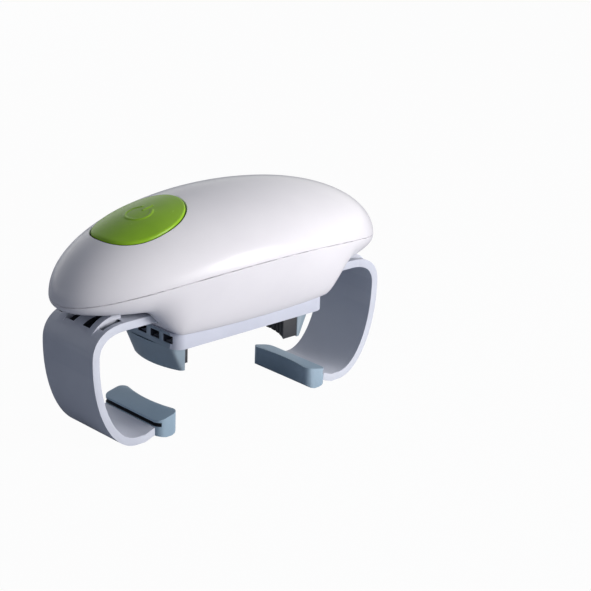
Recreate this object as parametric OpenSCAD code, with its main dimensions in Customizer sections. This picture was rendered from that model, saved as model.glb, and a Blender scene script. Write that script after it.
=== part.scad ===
// Electric jar opener: a domed housing stands on two C-shaped arms that close on the jar,
// and a turning carrier under it has two jaws that close on the lid and unscrew it.
// Origin: centre of the object, on the surface that the arms stand on. +X runs along the
// housing away from the button, +Z is up. Millimetres.

/* [Housing] */
// Half of the housing's length
half_l = 98.4; // [94:0.5:104]
// Half of the housing's width
half_w = 43.4; // [41:0.5:48]
// Height of the top of the dome
top_z = 113.2; // [111:0.5:122]
// Height of the seam between the shells, at mid length
seam_mid_z = 86.2; // [84:0.5:90]
// How far the seam comes down at the two ends
seam_drop = 14.1; // [8:0.5:15]
// Wall of both shells
wall = 2.4; // [1.6:0.1:2.8]
// Height of the underside of the housing's two ends
end_floor_z = 68; // [67:0.5:70]
// Height of the lower edge of the skirt round the mechanism
skirt_z = 53.5; // [53:0.1:54]
// Half length of the flat bottom of the skirt
skirt_half = 46; // [45:0.5:49]
// Length of the S-curve from the skirt up to the ends
skirt_run = 20; // [16:0.5:21]

/* [Button] */
// Distance of the button's middle from the end of the housing
button_inset = 47.2; // [46:0.2:50]
// Half length of the button
button_half_l = 23.4; // [20:0.2:24]
// Half width of the button
button_half_w = 20; // [17:0.5:20.5]
// Gap round the button
button_gap = 0.6; // [0.4:0.1:0.9]
// How far the button stands out of the dome
button_proud = 0.7; // [0.3:0.1:1.2]
// How far the button goes down
button_travel = 2; // [1.5:0.1:2.2]

/* [Arms] */
// Width of an arm
arm_w = 39; // [35:0.5:39]
// Thickness of an arm
arm_t = 4; // [3.4:0.1:4.1]
// How far an arm reaches out from the middle
arm_reach = 98.2; // [96:0.2:102]
// Height of the upper face of the arms
arm_top_z = 63.8; // [63.4:0.1:64]
// Distance from the middle to the jar pads' faces
jar_face_x = 45.2; // [43:0.2:46]
// Radius of the hollow in the jar pads
jar_hollow_r = 75; // [60:1:120]
// Height of the jar pads at the jar
pad_h = 11.8; // [10.4:0.2:14]
// Half width of a jar pad
pad_half_w = 22; // [20.5:0.5:24]

/* [Jaws] */
// Radius of the lid that the jaws fit as drawn
lid_r = 33; // [32:0.5:34]
// Half width of a jaw
jaw_half_w = 18.5; // [17.5:0.5:20]
// Height of the bottom of the jaws
jaw_bottom_z = 30.5; // [28:0.5:33]
// Number of ribs on a jaw's rubber pad
rib_count = 8; // [5:1:8]

/* [Carrier] */
// Half length of the turning carrier
carrier_half_l = 48.5; // [48:0.5:52]
// Half width of the turning carrier
carrier_half_w = 26; // [24.5:0.5:28]
// Height of the carrier's lower face
carrier_z = 45; // [44.5:0.1:45.2]

/* [Gears] */
// Teeth of the pinion that moves the arms, module 1
arm_teeth = 18; // [18:2:20]
// Teeth of the pinion that moves the jaws, module 1
jaw_teeth = 12; // [12:2:14]
// Teeth of the large gear on the spindle, module 1
drive_teeth = 46; // [44:1:46]
// Play between meshing teeth
backlash = 0.3; // [0.2:0.05:0.4]

/* [Hidden] */

button_x = half_l - button_inset;
around = 64;
run_gap = 0.05;
seat_gap = 0.2;
big = 400;

// Housing form
seam_gap = 0.3;
dome_nx = 2.02;
dome_ny = 1.81;
end_tuck = 7;
side_tuck = 12.4;
end_n = 2;
side_n = 1.3;

function seam_z(x) = seam_mid_z - seam_drop * pow(x / half_l, 2);
function dome_n(t) = dome_nx - (dome_nx - dome_ny) * pow(sin(t), 2);
function dome_point(t, h, d) =
    let (n = dome_n(t), f = pow(1 - pow(h, n), 1 / n))
    let (x0 = (half_l - d) * cos(t), y0 = (half_w - d) * sin(t), z0 = seam_z(x0))
    [x0 * f, y0 * f, z0 + (top_z - d - z0) * h];
// Height of the dome over a point, on the surface that lies d inside the outer one
function dome_z(x, y, d) =
    let (r = norm([x / (half_l - d), y / (half_w - d)]))
    let (t = atan2(y / (half_w - d), x / (half_l - d)), n = dome_n(t))
    let (h = pow(max(0, 1 - pow(r, n)), 1 / n), z0 = seam_z((half_l - d) * cos(t)))
    z0 + (top_z - d - z0) * h;

function smooth(u) = let (v = min(1, max(0, u))) v * v * (3 - 2 * v);
function floor_z(x) =
    end_floor_z - (end_floor_z - skirt_z) * smooth((skirt_half + skirt_run - abs(x)) / skirt_run);
function foot_scale(t) = 1 - end_tuck / half_l * pow(cos(t), 2) - side_tuck / half_w * pow(sin(t), 2);
// Point of the lower shell's wall: u = 0 at the seam, 1 at the foot
function wall_point(t, u, d) =
    let (n = end_n - (end_n - side_n) * pow(sin(t), 2))
    let (s = 1 - (1 - foot_scale(t)) * (1 - pow(cos(90 * u), 2 / n)))
    let (x0 = (half_l - d) * cos(t), x = x0 * s, y = (half_w - d) * sin(t) * s)
    let (z0 = seam_z(x0) - seam_gap / 2)
    [x, y, z0 + (floor_z(x) + d - z0) * pow(sin(90 * u), 2 / n)];
function floor_point(t, s, d) =
    let (k = foot_scale(t) * s, x = (half_l - d) * cos(t) * k)
    [x, (half_w - d) * sin(t) * k, floor_z(x) + d];

// Closed skin over a row of rings of equal count, from a first point to a last one
module ring_skin(rings, first, last) {
    n = len(rings[0]);
    m = len(rings);
    points = concat([for (r = rings) each r], [first, last]);
    sides = [for (i = [0 : m - 2], j = [0 : n - 1], k = [0, 1])
        let (a = i * n + j, b = i * n + (j + 1) % n, c = a + n, e = b + n) k == 0 ? [a, b, e] : [a, e, c]];
    caps = [for (j = [0 : n - 1], k = [0, 1]) let (p = (j + 1) % n)
        k == 0 ? [m * n, p, j] : [m * n + 1, (m - 1) * n + j, (m - 1) * n + p]];
    polyhedron(points, concat(sides, caps), convexity = 6);
}

function ring_angles(n = around) = [for (j = [0 : n - 1]) 360 * j / n];
function upper_ring(h, d) = [for (t = ring_angles())
    dome_point(t, h, d) + [0, 0, h == 0 ? seam_gap / 2 : 0]];
function wall_ring(u, d) = [for (t = ring_angles()) wall_point(t, u, d)];
function floor_ring(s, d) = [for (t = ring_angles()) floor_point(t, s, d)];

// Oval outline: superellipse of exponent n
function oval(t, a, b, n) =
    [a * sign(cos(t)) * pow(abs(cos(t)), 2 / n), b * sign(sin(t)) * pow(abs(sin(t)), 2 / n)];
function oval_points(c, a, b, n) = [for (t = ring_angles()) c + oval(t, a, b, n)];
function oval_on_dome(c, a, b, n, s, d) = [for (t = ring_angles())
    let (p = c + s * oval(t, a, b, n)) [p.x, p.y, dome_z(p.x, p.y, d)]];
function on_dome(c, d) = [c.x, c.y, dome_z(c.x, c.y, d)];

// Shell fixing: long screws from under the skirt through the chassis into the upper shell
post_x = 40;
post_y = 24.5;
post_r = 3.9;
boss_r = 3.2;
screw_r = 1.45;
head_r = 2.6;
head_z = skirt_z + 4;
boss_top_z = dome_z(post_x + boss_r * 0.7, post_y + boss_r * 0.8, wall / 2);

// Levels of the mechanism
floor_top_z = skirt_z + wall;
arm_bottom_z = arm_top_z - arm_t;
chassis_z = arm_top_z + 0.8;
chassis_t = 2.2;
chassis_top_z = chassis_z + chassis_t;
level_a = chassis_top_z + 0.3;
gear_t = 3;
level_b = level_a + gear_t + 0.6;
thin_t = 2.2;
level_c = level_b + thin_t + 0.6;
thinnest_t = 2;
gear_cover_z = level_c + thinnest_t + 0.7;
gear_cover_t = 1.5;
gear_cover_top_z = gear_cover_z + gear_cover_t;

// Gears: involute teeth of module m
pressure = 25;
addendum = 0.8;
dedendum = 1.05;
function inv(a) = tan(a) * 180 / PI - a;
function flank(m, z, r) =
    let (rp = m * z / 2, rb = rp * cos(pressure))
    90 / z - backlash / 2 * 90 / PI / rp * 1 + inv(pressure) - (r > rb ? inv(acos(rb / r)) : 0);
function polar(r, a) = [r * cos(a), r * sin(a)];
function tooth(m, z, a) =
    let (rp = m * z / 2, ra = rp + addendum * m, rr = rp - dedendum * m, rb = rp * cos(pressure))
    let (r0 = max(rr, min(rb, rp)), steps = [0, 0.35, 0.7, 1], rs = [for (s = steps) r0 + (ra - r0) * s])
    concat(
        [polar(rr, a - flank(m, z, r0))],
        [for (r = rs) polar(r, a - flank(m, z, r))],
        [for (i = [3 : -1 : 0]) polar(rs[i], a + flank(m, z, rs[i]))],
        [polar(rr, a + flank(m, z, r0))]
    );
module gear_profile(m, z, turn) {
    polygon([for (i = [0 : z - 1]) each tooth(m, z, turn + 360 * i / z)]);
}
function tip_r(m, z) = m * z / 2 + addendum * m;

second_m = 1;
second_small = 11;
first_m = 0.8;
second_big = 44;
first_small = 10;
motor_m = 0.6;
first_big = 42;
motor_teeth = 9;
second_at_angle = -5;
first_at_angle = 25;
motor_at_angle = -120;
second_at = polar(second_m * (drive_teeth + second_small) / 2, second_at_angle);
first_at = second_at + polar(first_m * (second_big + first_small) / 2, first_at_angle);
motor_at = first_at + polar(motor_m * (first_big + motor_teeth) / 2, motor_at_angle);
pin_r = 1.5;
pillars = [[-2, -27.5], [46, -17], [22, 25], [-18, 25]];
pillar_r = 3;
small_screw_r = 1;
small_head_r = 2;

// Spindle and its bearings
spindle_r = 4;
spindle_top_r = 2.5;
hub_r = 9;
hub_top_z = floor_top_z + 2.9;
bush_hole_r = 12;
sleeve_r = 6;
carrier_top_z = skirt_z - 0.5;

// Arm racks
arm_in = 20;
arm_out = 5;
arm_pitch_r = arm_teeth / 2;
rack_back = arm_pitch_r + 8;
rack_tip_x = arm_out + 9;
plate_x = rack_tip_x + 2 * arm_in + 1;
arm_slot_gap = 0.5;
rail_y = 13.5;
rail_w = 3;
rail_h_gap = 0.3;

// Rack along X whose teeth point to -Y; gap centred on x = 0
module rack_teeth(x1, x2, pitch_y) {
    tooth_half = PI / 4 - backlash / 4;
    rise = tan(pressure);
    for (i = [ceil(x1 / PI - 0.5) : floor(x2 / PI - 0.5)])
        translate([(i + 0.5) * PI, pitch_y])
            polygon([
                [-tooth_half - rise * dedendum, dedendum + 0.2],
                [-tooth_half - rise * dedendum, dedendum],
                [-tooth_half + rise * addendum, -addendum],
                [tooth_half - rise * addendum, -addendum],
                [tooth_half + rise * dedendum, dedendum],
                [tooth_half + rise * dedendum, dedendum + 0.2]
            ]);
}

// Arm outline in XZ: x as a distance from the middle
arm_curve_x = 20;
arm_step = 3;
arm_upper_n = 2.4;
arm_lower_n = 2;
arm_mid_z = 48;
arm_tip_x = 56;
arm_foot_x = 64.2;
arm_foot_w = 5;
arm_tip_rise = 2;
shoulder_x = arm_reach - 5.3 - arm_curve_x;

// Outer edge from the inner end over the shoulder and down to the tip; d is the depth inside it
function arm_edge(d) = concat(
    [[shoulder_x - 4, arm_top_z - d]],
    [for (a = [90 : -arm_step : 0])
        [shoulder_x + (arm_curve_x - d) * pow(cos(a), 2 / arm_upper_n),
         arm_mid_z + (arm_top_z - d - arm_mid_z) * pow(sin(a), 2 / arm_upper_n)]],
    [for (a = [arm_step : arm_step : 90])
        let (w = pow(cos(a), 2 / arm_lower_n), v = pow(sin(a), 2 / arm_lower_n))
        [arm_foot_x + arm_foot_w / 2 + (shoulder_x + arm_curve_x - d - arm_foot_x - arm_foot_w / 2) * w,
         arm_mid_z - (arm_mid_z - d) * v]],
    [[arm_foot_x - arm_foot_w / 2, d], [arm_tip_x, d + arm_tip_rise]]
);

module arm_strip() {
    outer = arm_edge(0);
    inner = arm_edge(arm_t);
    rotate([90, 0, 0])
        translate([0, 0, -arm_w / 2])
            linear_extrude(arm_w)
                polygon(concat(outer, [for (i = [len(inner) - 1 : -1 : 0]) inner[i]]));
}

// Jar pads
pad_back_x = arm_tip_x - 0.3;
pad_back_h = 9.4;
pad_groove_z = arm_tip_rise + arm_t + 0.4;
pad_groove_h = 1.9;
pad_groove_d = 2.2;
pad_foot = 0.4;
tongue_l = 7;
tongue_half_w = 14;
tongue_t = 2.6;
tongue_z = arm_tip_rise + 0.8;
pad_round = 4;
pad_foot_round = 5;
pad_hollow_x = jar_face_x - jar_hollow_r;
pad_end_x = pad_hollow_x + sqrt(pow(jar_hollow_r + pad_round, 2) - pow(pad_half_w - pad_round, 2));
pad_end_turn = asin((pad_half_w - pad_round) / (jar_hollow_r + pad_round));
pad_front_x = pad_end_x - pad_round - 1;
// Points of an arc about c
function arc(c, r, a1, a2, n = 7) = [for (i = [0 : n]) c + polar(r, a1 + (a2 - a1) * i / n)];
guide_rib_y = 11.5;
guide_rib_w = 4;
guide_rib_h = 2.6;
notch_w = guide_rib_w + 2 * arm_slot_gap;
guide_rib_x1 = 72;
guide_rib_x2 = 90;
function shoulder_z(x) = arm_mid_z + (arm_top_z - arm_mid_z)
    * pow(1 - pow(max(0, x - shoulder_x) / arm_curve_x, arm_upper_n), 1 / arm_upper_n);

// Pockets in the shoulder on both sides of each guide rib: from y, to y, outer end
pockets = [[3.5, guide_rib_y - guide_rib_w / 2, 86.5], [guide_rib_y + guide_rib_w / 2, 16.8, 85]];
pocket_x = 74;
pocket_d = 2.2;
module arm_pockets() {
    for (side = [-1, 1], q = pockets)
        translate([0, side > 0 ? q[1] : -q[0], 0])
            rotate([90, 0, 0])
                linear_extrude(q[1] - q[0])
                    polygon(concat(
                        [for (u = [0 : 0.2 : 1])
                            let (x = pocket_x + (q[2] - pocket_x) * u) [x, shoulder_z(x) - pocket_d]],
                        [[q[2], arm_top_z + 1], [pocket_x, arm_top_z + 1]]
                    ));
}

module arm() {
    difference() {
        arm_strip();
        arm_pockets();
    }
    // Plate and rack bar that run inside the housing
    translate([plate_x, -arm_w / 2, arm_bottom_z])
        cube([shoulder_x - 3.9 - plate_x, arm_w, arm_t]);
    translate([0, 0, arm_bottom_z])
        linear_extrude(arm_t) {
            translate([-rack_tip_x, arm_pitch_r + dedendum])
                square([rack_tip_x + plate_x + 1, rack_back - arm_pitch_r - dedendum]);
            rack_teeth(-rack_tip_x + 1, arm_in + 7, arm_pitch_r);
        }
    // Tongue that the pad is pushed over
    translate([arm_tip_x - tongue_l, -tongue_half_w, tongue_z])
        cube([tongue_l + 0.5, 2 * tongue_half_w, tongue_t]);
    // Two guide ribs over the shoulder
    rib_xs = [for (u = [0 : 0.125 : 1]) guide_rib_x1 + (guide_rib_x2 - guide_rib_x1) * u];
    for (side = [-1, 1])
        translate([0, side * guide_rib_y + guide_rib_w / 2, 0])
            rotate([90, 0, 0])
                linear_extrude(guide_rib_w)
                    polygon(concat(
                        [for (x = rib_xs)
                            let (u = (x - guide_rib_x1) / (guide_rib_x2 - guide_rib_x1))
                            [x, shoulder_z(x) + guide_rib_h * (1 - u * u) - 0.1 * u]],
                        [[guide_rib_x2 - 3, shoulder_z(guide_rib_x2) - 1.5],
                         [guide_rib_x1 + 6, shoulder_z(guide_rib_x1 + 6) - 2],
                         [guide_rib_x1, arm_top_z - 1]]
                    ));
}

module jar_pad() {
    difference() {
        intersection() {
            translate([0, 0, pad_foot])
                linear_extrude(pad_h)
                    polygon(concat(
                        arc([pad_back_x - pad_round, -pad_half_w + pad_round], pad_round, 0, -90),
                        arc([pad_end_x, -pad_half_w + pad_round], pad_round, -90, -180 - pad_end_turn),
                        arc([pad_hollow_x, 0], jar_hollow_r, -pad_end_turn * 0.96, pad_end_turn * 0.96, 16),
                        arc([pad_end_x, pad_half_w - pad_round], pad_round, 180 + pad_end_turn, 90),
                        arc([pad_back_x - pad_round, pad_half_w - pad_round], pad_round, 90, 0)
                    ));
            rotate([90, 0, 0])
                translate([0, 0, -pad_half_w - 1])
                    linear_extrude(2 * pad_half_w + 2)
                        polygon([
                            [pad_back_x, pad_foot + 1.2], [pad_back_x, pad_groove_z],
                            [pad_back_x - pad_groove_d, pad_groove_z],
                            [pad_back_x - pad_groove_d, pad_groove_z + pad_groove_h],
                            [pad_back_x, pad_groove_z + pad_groove_h], [pad_back_x, pad_back_h],
                            [jar_face_x, pad_h], [pad_front_x, pad_h + 0.3],
                            [pad_front_x, pad_foot + pad_foot_round],
                            [pad_front_x + pad_foot_round * 0.25, pad_foot + pad_foot_round * 0.45],
                            [pad_front_x + pad_foot_round * 0.6, pad_foot + pad_foot_round * 0.14],
                            [pad_front_x + pad_foot_round * 1.1, pad_foot], [pad_back_x - 5, pad_foot]
                        ]);
        }
        translate([arm_tip_x - tongue_l - seat_gap, -tongue_half_w - seat_gap, tongue_z - seat_gap])
            cube([tongue_l + 2, 2 * (tongue_half_w + seat_gap), tongue_t + 2 * seat_gap]);
    }
}

module left_arm() { color("#6a7386") rotate(180) arm(); }
module right_arm() { color("#6a7386") arm(); }
module left_pad() { color("#6d8190") rotate(180) jar_pad(); }
module right_pad() { color("#6d8190") jar_pad(); }

module arm_pinion() {
    color("ivory")
        difference() {
            union() {
                translate([0, 0, arm_bottom_z])
                    linear_extrude(arm_t)
                        gear_profile(1, arm_teeth, 90);
                translate([0, 0, hub_top_z + 0.3])
                    cylinder(h = chassis_z - hub_top_z - 0.6, r = arm_pitch_r - dedendum - 0.1, $fn = 64);
            }
            translate([0, 0, floor_top_z])
                cylinder(h = 30, r = sleeve_r + run_gap, $fn = 64);
        }
}

// Carrier: a tray with five windows in each end, closed from below by a cover
carrier_wall = 1.6;
carrier_plate_t = 1.4;
carrier_corner_r = 6;
jaw_cover_t = 2.2;
jaw_cover_z = carrier_z + 0.2;
channel_pitch = 9.6;
channel_w = 6.4;
channel_z = jaw_cover_z + jaw_cover_t + 0.3;
jaw_bar_t = 3.4;
channel_h = jaw_bar_t + 0.4;
jaw_in = 15;
jaw_out = 6;
jaw_pitch_r = jaw_teeth / 2;
jaw_bar_y1 = jaw_pitch_r + dedendum;
jaw_bar_y2 = channel_pitch + channel_w / 2 - 0.2;
jaw_face_x = lid_r + 3.7;
stem_x1 = jaw_face_x + 0.2;
stem_x2 = carrier_half_l - carrier_wall - jaw_out - 0.3;
guide_y = 2 * channel_pitch;
guide_w = channel_w - 0.6;
rib_start_x = 28;
jaw_pin_r = 2;

module rounded_plate(half_x, half_y, r, h) {
    linear_extrude(h)
        union() {
            square([2 * half_x, 2 * (half_y - r)], center = true);
            square([2 * (half_x - r), 2 * half_y], center = true);
            for (x = [-1, 1], y = [-1, 1])
                translate([x * (half_x - r), y * (half_y - r)])
                    circle(r, $fn = 48);
        }
}

cover_screw_spots = [for (x = [-1, 1]) [x * 8, x * guide_y]];

module carrier() {
    color("#cdd5e2")
        difference() {
            union() {
                difference() {
                    translate([0, 0, carrier_z])
                        rounded_plate(carrier_half_l, carrier_half_w, carrier_corner_r,
                            carrier_top_z - carrier_z);
                    translate([0, 0, carrier_z - 1])
                        rounded_plate(carrier_half_l - carrier_wall, carrier_half_w - carrier_wall,
                            carrier_corner_r - carrier_wall, carrier_top_z - carrier_plate_t - carrier_z + 1);
                }
                // Ribs between the channels
                for (x = [-1, 1], y = [-1.5, -0.5, 0.5, 1.5])
                    translate([x > 0 ? rib_start_x : -carrier_half_l + carrier_wall,
                        y * channel_pitch - (channel_pitch - channel_w) / 2, channel_z])
                        cube([carrier_half_l - carrier_wall - rib_start_x, channel_pitch - channel_w,
                            carrier_top_z - carrier_plate_t - channel_z]);
                for (p = cover_screw_spots)
                    translate([p.x, p.y, channel_z])
                        cylinder(h = carrier_top_z - carrier_plate_t - channel_z, r = 2.2, $fn = 32);
                translate([0, 0, carrier_top_z - 0.5])
                    cylinder(h = hub_top_z - carrier_top_z + 0.5, r = hub_r, $fn = 64);
            }
            for (y = [-2 : 2])
                translate([-carrier_half_l - 1, y * channel_pitch - channel_w / 2, channel_z])
                    cube([2 * carrier_half_l + 2, channel_w, channel_h]);
            translate([0, 0, carrier_top_z])
                cylinder(h = 30, r = spindle_r + run_gap, $fn = 48);
            translate([0, 0, carrier_z - 1])
                cylinder(h = carrier_top_z - carrier_z, r = jaw_pin_r + run_gap, $fn = 32);
        }
}

module carrier_cover() {
    color("#aab4c4")
        difference() {
            translate([0, 0, jaw_cover_z])
                rounded_plate(carrier_half_l - carrier_wall - seat_gap,
                    carrier_half_w - carrier_wall - seat_gap, carrier_corner_r - carrier_wall, jaw_cover_t);
            // Slots for the stems of the jaws
            for (turn = [0, 180])
                rotate(turn)
                    for (y = [jaw_bar_y1 - 0.3, -guide_y - guide_w / 2 - 0.3])
                        translate([stem_x1 - jaw_in - 0.5, y, carrier_z - 1])
                            cube([stem_x2 + jaw_out + jaw_in - stem_x1 + 0.8,
                                y > 0 ? jaw_bar_y2 - jaw_bar_y1 + 0.6 : guide_w + 0.6, 5]);
            translate([0, 0, carrier_z - 1])
                cylinder(h = 5, r = jaw_pin_r + run_gap, $fn = 32);
            for (p = cover_screw_spots)
                translate([p.x, p.y, carrier_z - 1])
                    cylinder(h = 5, r = small_screw_r + run_gap, $fn = 32);
        }
}

module carrier_screws() {
    color("silver")
        for (p = cover_screw_spots)
            translate([p.x, p.y, 0]) {
                translate([0, 0, jaw_cover_z - 1.2])
                    cylinder(h = 1.2, r = small_head_r, $fn = 32);
                translate([0, 0, jaw_cover_z - 0.1])
                    cylinder(h = jaw_cover_t + 0.1, r = small_screw_r, $fn = 32);
            }
}

module jaw_pin() {
    color("silver")
        translate([0, 0, jaw_cover_z])
            cylinder(h = carrier_top_z - 1.2 - jaw_cover_z, r = jaw_pin_r, $fn = 32);
}

module jaw_pinion() {
    color("ivory")
        difference() {
            union() {
                translate([0, 0, channel_z + 0.2])
                    linear_extrude(jaw_bar_t)
                        gear_profile(1, jaw_teeth, 90);
                translate([0, 0, channel_z])
                    cylinder(h = carrier_top_z - carrier_plate_t - 0.3 - channel_z, r = jaw_pitch_r - dedendum - 0.1, $fn = 48);
            }
            translate([0, 0, carrier_z])
                cylinder(h = 20, r = jaw_pin_r + run_gap, $fn = 32);
        }
}

jaw_top_z = carrier_z - 0.4;
jaw_outer_r = lid_r + 10;
jaw_flare = 6;

jaw_round = 2.4;
jaw_edge = 0.4;
// Plan of the jaw's block at height z: flat inside, round outside, rounded upright corners
function jaw_ring(z) =
    let (r = jaw_outer_r + jaw_flare * (z - jaw_bottom_z) / (jaw_top_z - jaw_bottom_z))
    let (y0 = jaw_half_w - jaw_round, x0 = sqrt(pow(r - jaw_round, 2) - y0 * y0), turn = atan2(y0, x0))
    let (edge_x = jaw_face_x + jaw_edge)
    [for (q = concat(
        arc([edge_x, -jaw_half_w + jaw_edge], jaw_edge, 180, 270, 3),
        arc([x0, -y0], jaw_round, 270, 360 - turn, 5),
        arc([0, 0], r, -turn * 0.92, turn * 0.92, 20),
        arc([x0, y0], jaw_round, turn, 90, 5),
        arc([edge_x, jaw_half_w - jaw_edge], jaw_edge, 90, 180, 3)
    )) [q.x, q.y, z]];

module jaw() {
    bar_z = channel_z + 0.2;
    stem_h = bar_z - jaw_top_z + 0.5;
    ring_skin(
        [jaw_ring(jaw_top_z), jaw_ring(jaw_bottom_z)],
        [jaw_face_x + 3, 0, jaw_top_z],
        [jaw_face_x + 3, 0, jaw_bottom_z]
    );
    // Rack side: bar, teeth and stem
    translate([0, 0, bar_z])
        linear_extrude(jaw_bar_t) {
            translate([-jaw_out - 7, jaw_bar_y1])
                square([stem_x2 + jaw_out + 7, jaw_bar_y2 - jaw_bar_y1]);
            rack_teeth(-jaw_out - 7, jaw_in + 5, jaw_pitch_r);
        }
    translate([stem_x1, jaw_bar_y1, jaw_top_z - 0.5])
        cube([stem_x2 - stem_x1, jaw_bar_y2 - jaw_bar_y1, stem_h + 0.5]);
    // Guide side: bar and stem
    translate([stem_x1 - 18, -guide_y - guide_w / 2, bar_z])
        cube([stem_x2 - stem_x1 + 18, guide_w, jaw_bar_t]);
    translate([stem_x1, -jaw_half_w, jaw_top_z - 0.5])
        cube([stem_x2 - stem_x1, jaw_half_w - guide_y + guide_w / 2, stem_h + 0.5]);
}

// The rubber reaches further to one side, against the way that the carrier unscrews
jaw_pad_w = jaw_half_w - 0.2;
jaw_pad_far = 12.8;
jaw_pad_turn = asin(jaw_pad_w / lid_r);
jaw_pad_far_turn = asin(jaw_pad_far / lid_r);
jaw_pad_z = jaw_bottom_z + 0.6;
jaw_pad_h = jaw_top_z - 0.4 - jaw_pad_z;
rib_depth = 0.8;

module jaw_pad() {
    rib_step = (jaw_pad_turn + jaw_pad_far_turn) / rib_count;
    difference() {
        translate([lid_r * 0.8, -jaw_pad_w, jaw_pad_z])
            cube([jaw_face_x - run_gap - lid_r * 0.8, jaw_pad_w + jaw_pad_far, jaw_pad_h]);
        translate([0, 0, jaw_pad_z - 1])
            cylinder(h = jaw_pad_h + 2, r = lid_r, $fn = 96);
        // Upright grooves leave the ribs
        for (i = [1 : rib_count - 1])
            rotate(i * rib_step - jaw_pad_turn)
                translate([lid_r - 0.2, -rib_depth / 2, jaw_pad_z - 1])
                    cube([rib_depth + 0.2, rib_depth, jaw_pad_h + 2]);
    }
}

module left_jaw() { color("#6f8290") rotate(180) jaw(); }
module right_jaw() { color("#6f8290") jaw(); }
module left_jaw_pad() { color("#1c1c1f") rotate(180) jaw_pad(); }
module right_jaw_pad() { color("#1c1c1f") jaw_pad(); }

module spindle() {
    color("silver") {
        translate([0, 0, carrier_top_z + 0.1])
            cylinder(h = level_b + 1.4 - carrier_top_z - 0.1, r = spindle_r, $fn = 48);
        translate([0, 0, level_b])
            cylinder(h = gear_cover_top_z + 0.5 - level_b, r = spindle_top_r, $fn = 48);
    }
}

module drive_gear() {
    color("ivory")
        difference() {
            union() {
                translate([0, 0, level_a])
                    linear_extrude(gear_t)
                        gear_profile(second_m, drive_teeth, second_at_angle);
            }
            translate([0, 0, level_a - 1])
                cylinder(h = gear_t + 2, r = spindle_r + run_gap, $fn = 48);
            for (i = [0 : 5])
                rotate(60 * i + 30)
                    translate([13.5, 0, level_a - 1])
                        cylinder(h = gear_t + 2, r = 4, $fn = 48);
        }
}

module retaining_clip() {
    color("silver")
        translate([0, 0, level_a + gear_t + 0.15])
            difference() {
                cylinder(h = 0.8, r = spindle_r + 3, $fn = 48);
                translate([0, 0, -1])
                    cylinder(h = 3, r = spindle_r + run_gap, $fn = 48);
                translate([0, -1.5, -1])
                    cube([20, 3, 3]);
            }
}

module turn_bush() {
    color("ivory")
        difference() {
            union() {
                translate([0, 0, skirt_z + 0.1])
                    cylinder(h = wall + 1.3, r = bush_hole_r - seat_gap, $fn = 64);
                translate([0, 0, floor_top_z + 0.1])
                    cylinder(h = 1.3, r = bush_hole_r + 2.5, $fn = 64);
            }
            translate([0, 0, skirt_z - 1])
                cylinder(h = wall + 9, r = hub_r + run_gap, $fn = 64);
        }
}

// Gear train
module second_gear() {
    color("ivory")
        translate(second_at)
            difference() {
                union() {
                    translate([0, 0, level_a])
                        linear_extrude(level_b - level_a + 0.2)
                            gear_profile(second_m, second_small, second_at_angle + 180 + 180 / second_small);
                    translate([0, 0, level_b])
                        linear_extrude(thin_t)
                            gear_profile(first_m, second_big, first_at_angle);
                    translate([0, 0, level_b])
                        cylinder(h = gear_cover_z - 0.3 - level_b, r = 3, $fn = 48);
                }
                cylinder(h = big, r = pin_r + run_gap, $fn = 32);
            }
}

module first_gear() {
    color("ivory")
        translate(first_at)
            difference() {
                union() {
                    translate([0, 0, level_a])
                        cylinder(h = level_b - level_a + 0.2, r = 2.8, $fn = 48);
                    translate([0, 0, level_b - 0.2])
                        linear_extrude(level_c - level_b + 0.4)
                            gear_profile(first_m, first_small, first_at_angle + 180 + 180 / first_small);
                    translate([0, 0, level_c])
                        linear_extrude(thinnest_t)
                            gear_profile(motor_m, first_big, motor_at_angle);
                    translate([0, 0, level_c])
                        cylinder(h = gear_cover_z - 0.3 - level_c, r = 2.8, $fn = 48);
                }
                cylinder(h = big, r = pin_r + run_gap, $fn = 32);
            }
}

motor_r = 10;
motor_flat = 15.1;
motor_z = gear_cover_top_z + 0.2;
motor_long = 25;
motor_top_gap = 1.5;
motor_roof_z = dome_z(motor_at.x + motor_r, motor_at.y - motor_flat / 2, wall);
motor_h = min(motor_long, motor_roof_z - motor_top_gap - motor_z);
motor_shaft_r = 1;

module motor_pinion() {
    color("goldenrod")
        translate(motor_at) {
            translate([0, 0, level_c - 0.1])
                linear_extrude(thinnest_t + 0.3)
                    gear_profile(motor_m, motor_teeth, motor_at_angle + 180 + 180 / motor_teeth);
            translate([0, 0, level_c + 1])
                cylinder(h = motor_z + 5 - level_c, r = motor_shaft_r, $fn = 32);
        }
}

module motor() {
    color("silver")
        translate(motor_at)
            difference() {
                union() {
                    intersection() {
                        translate([0, 0, motor_z])
                            cylinder(h = motor_h - 1.2, r = motor_r, $fn = 64);
                        translate([-motor_r, -motor_flat / 2, motor_z])
                            cube([2 * motor_r, motor_flat, motor_h]);
                    }
                    translate([0, 0, motor_z - 1.4])
                        cylinder(h = 2, r = 3, $fn = 48);
                    translate([0, 0, motor_z + motor_h - 2])
                        cylinder(h = 1.6, r = 4.5, $fn = 48);
                    for (side = [-1, 1])
                        translate([side * 6 - 1, 4, motor_z + motor_h - 1.3])
                            cube([2, 0.6, 2]);
                }
                translate([0, 0, motor_z - 3])
                    cylinder(h = 9, r = motor_shaft_r + run_gap, $fn = 32);
            }
}

chassis_x = post_x + 6;
chassis_y = post_y + 4.5;
chassis_end_x = first_at.x + 2.5;

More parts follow.
